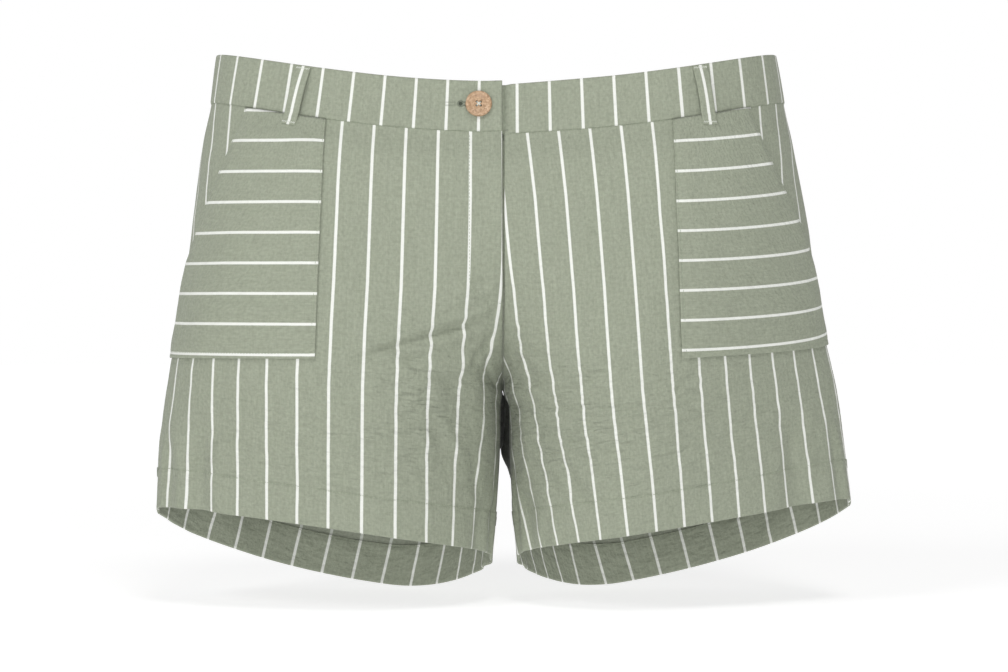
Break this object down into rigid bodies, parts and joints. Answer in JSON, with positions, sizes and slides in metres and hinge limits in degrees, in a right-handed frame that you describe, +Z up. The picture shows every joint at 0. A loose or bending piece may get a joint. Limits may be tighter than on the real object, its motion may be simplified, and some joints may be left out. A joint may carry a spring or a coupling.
{
  "type": "cotton shorts",
  "caption": "Women's striped cotton shorts, filled out and open at waist and legs, with a buttoned waistband, belt loops and patch pockets.",
  "frame": {"origin": "middle of the waist hollow, half-way up the waistband, where the wearer's waist holds the shorts", "axes": "+Z up the wearer's body, -Y out of the front, +X towards the wearer's left"},
  "size_m": [0.5206, 0.2166, 0.4067],
  "materials": {
    "cotton": "matte sage-green plain-weave cotton with narrow off-white stripes",
    "button": "tan turned button with a satin polish and four holes"
  },
  "bodies": {
    "root": {"front_right": "cotton", "front_left": "cotton", "back_right": "cotton", "back_left": "cotton", "pocket_right": "cotton", "pocket_left": "cotton", "waistband_right": "cotton", "waistband_left": "cotton", "waistband_back": "cotton", "fly_shield": "cotton", "loop_front_right": "cotton", "loop_front_left": "cotton", "loop_back_right": "cotton", "loop_back_left": "cotton", "loop_centre_back": "cotton", "button": "button"}
  },
  "joints": []
}
